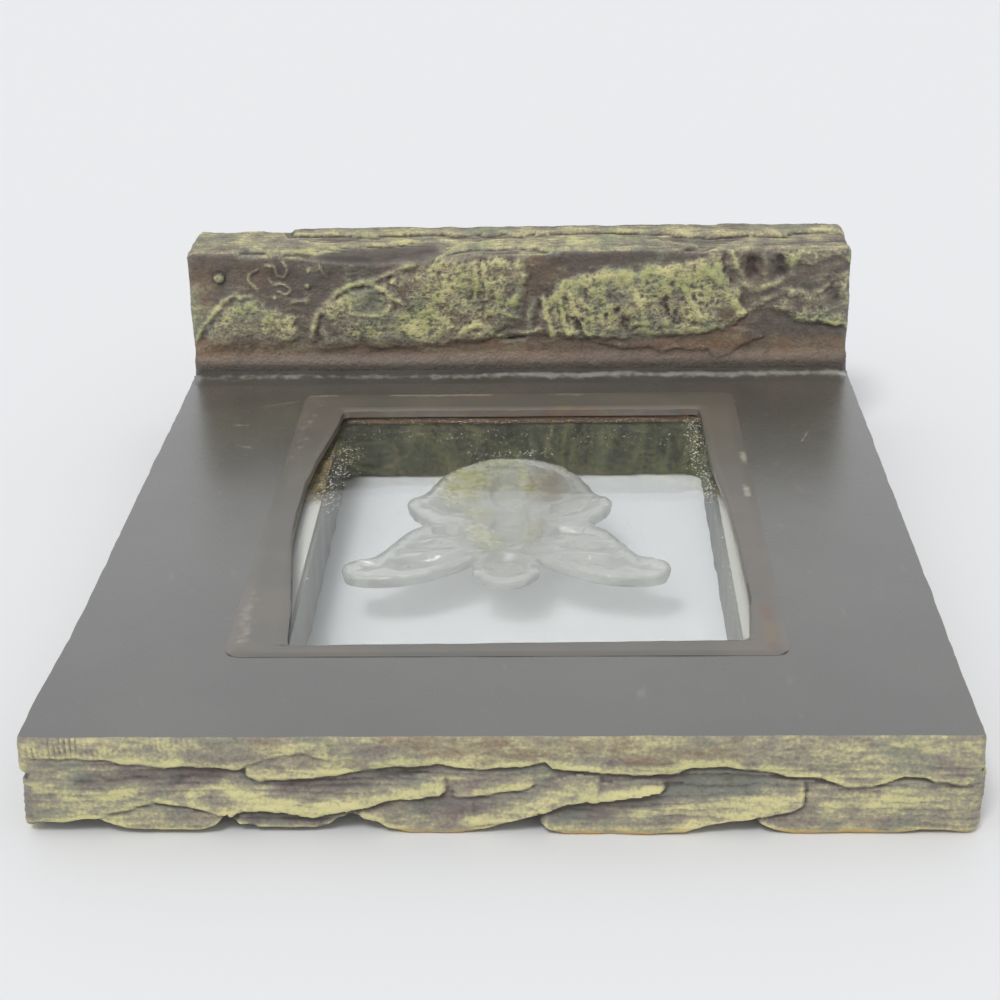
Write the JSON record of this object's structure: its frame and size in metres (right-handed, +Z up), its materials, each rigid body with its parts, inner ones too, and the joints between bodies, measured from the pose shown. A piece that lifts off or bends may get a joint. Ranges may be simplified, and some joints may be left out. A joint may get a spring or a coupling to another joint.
{
  "type": "rock-look display frame with glass butterfly",
  "caption": "Free-standing display frame of cast rock-look resin, its window glazed from behind and holding a cast-glass butterfly on the pane.",
  "frame": {"origin": "under the middle of the whole frame, on the surface that its rocky front lies on", "axes": "+Z up, away from the surface and out of the smooth back; +Y towards the foot's sole; +X to the right seen from the edge opposite the foot"},
  "size_m": [0.1508, 0.1772, 0.0472],
  "materials": {
    "panel_resin": "cast resin: smooth semi-gloss dark grey back, purple-brown rock edges dry-brushed yellow-green",
    "foot_resin": "cast resin rock, brown with yellow-green dry-brushed crests",
    "filler": "smooth filler bead, painted dark grey with a worn pale lip",
    "bedding": "thin bed of clear silicone",
    "pane_glass": "clear float glass, lightly dusty towards its edges",
    "band_putty": "brown-grey glazing putty, worn pale along the outer edge, ochre along the inner edge",
    "butterfly_glass": "pressed clear glass with raised rims and sunken cells",
    "glue": "aged yellowed clear adhesive",
    "pin_steel": "plain steel rod",
    "pad_felt": "dark self-adhesive felt"
  },
  "bodies": {
    "root": {"panel": "panel_resin", "foot": "foot_resin", "joint_cove": "filler", "pane_bedding": "bedding", "glass_pane": "pane_glass", "glazing_band": "band_putty", "glass_butterfly": "butterfly_glass", "butterfly_glue": "glue", "joint_pin_1": "pin_steel", "joint_pin_2": "pin_steel", "felt_pad_1": "pad_felt", "felt_pad_2": "pad_felt", "felt_pad_3": "pad_felt", "felt_pad_4": "pad_felt"}
  },
  "joints": []
}
